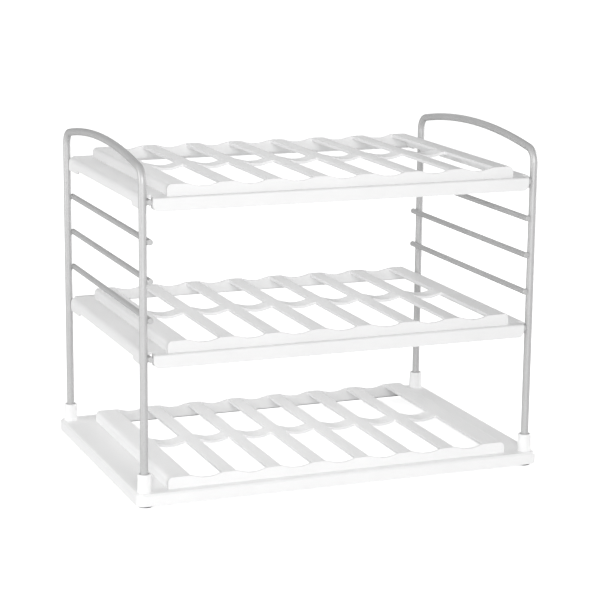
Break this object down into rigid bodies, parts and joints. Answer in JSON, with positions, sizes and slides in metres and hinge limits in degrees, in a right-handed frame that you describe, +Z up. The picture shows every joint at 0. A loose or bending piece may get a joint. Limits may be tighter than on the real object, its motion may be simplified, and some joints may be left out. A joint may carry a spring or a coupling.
{
  "type": "bottle drying rack",
  "caption": "Tiered countertop rack for drying baby bottles: a drain tray, wire side frames with rungs and lift-off wavy grille shelves.",
  "frame": {"origin": "centre of the footprint, on the surface that the feet stand on", "axes": "+X to the right of a person facing the front, +Y from front to back, +Z up"},
  "size_m": [0.3594, 0.244, 0.2865],
  "materials": {
    "white_plastic": "satin moulded white",
    "silver_paint": "satin silver-grey powder coat",
    "grey_rubber": "matte"
  },
  "bodies": {
    "rack": {"base_tray": "white_plastic", "left_hoop": "silver_paint", "right_hoop": "silver_paint", "left_rung_1": "silver_paint", "left_rung_2": "silver_paint", "left_rung_3": "silver_paint", "left_rung_4": "silver_paint", "left_rung_5": "silver_paint", "right_rung_1": "silver_paint", "right_rung_2": "silver_paint", "right_rung_3": "silver_paint", "right_rung_4": "silver_paint", "right_rung_5": "silver_paint", "foot_front_left": "grey_rubber", "foot_front_right": "grey_rubber", "foot_back_left": "grey_rubber", "foot_back_right": "grey_rubber"},
    "top_shelf": {"top_shelf": "white_plastic"},
    "middle_shelf": {"middle_shelf": "white_plastic"}
  },
  "joints": [
    {"name": "top_shelf_lift", "type": "slide", "parent": "rack", "child": "top_shelf", "axis": [0, 0, 1], "range_m": [0, 0.012]},
    {"name": "middle_shelf_lift", "type": "slide", "parent": "rack", "child": "middle_shelf", "axis": [0, 0, 1], "range_m": [0, 0.022]}
  ]
}
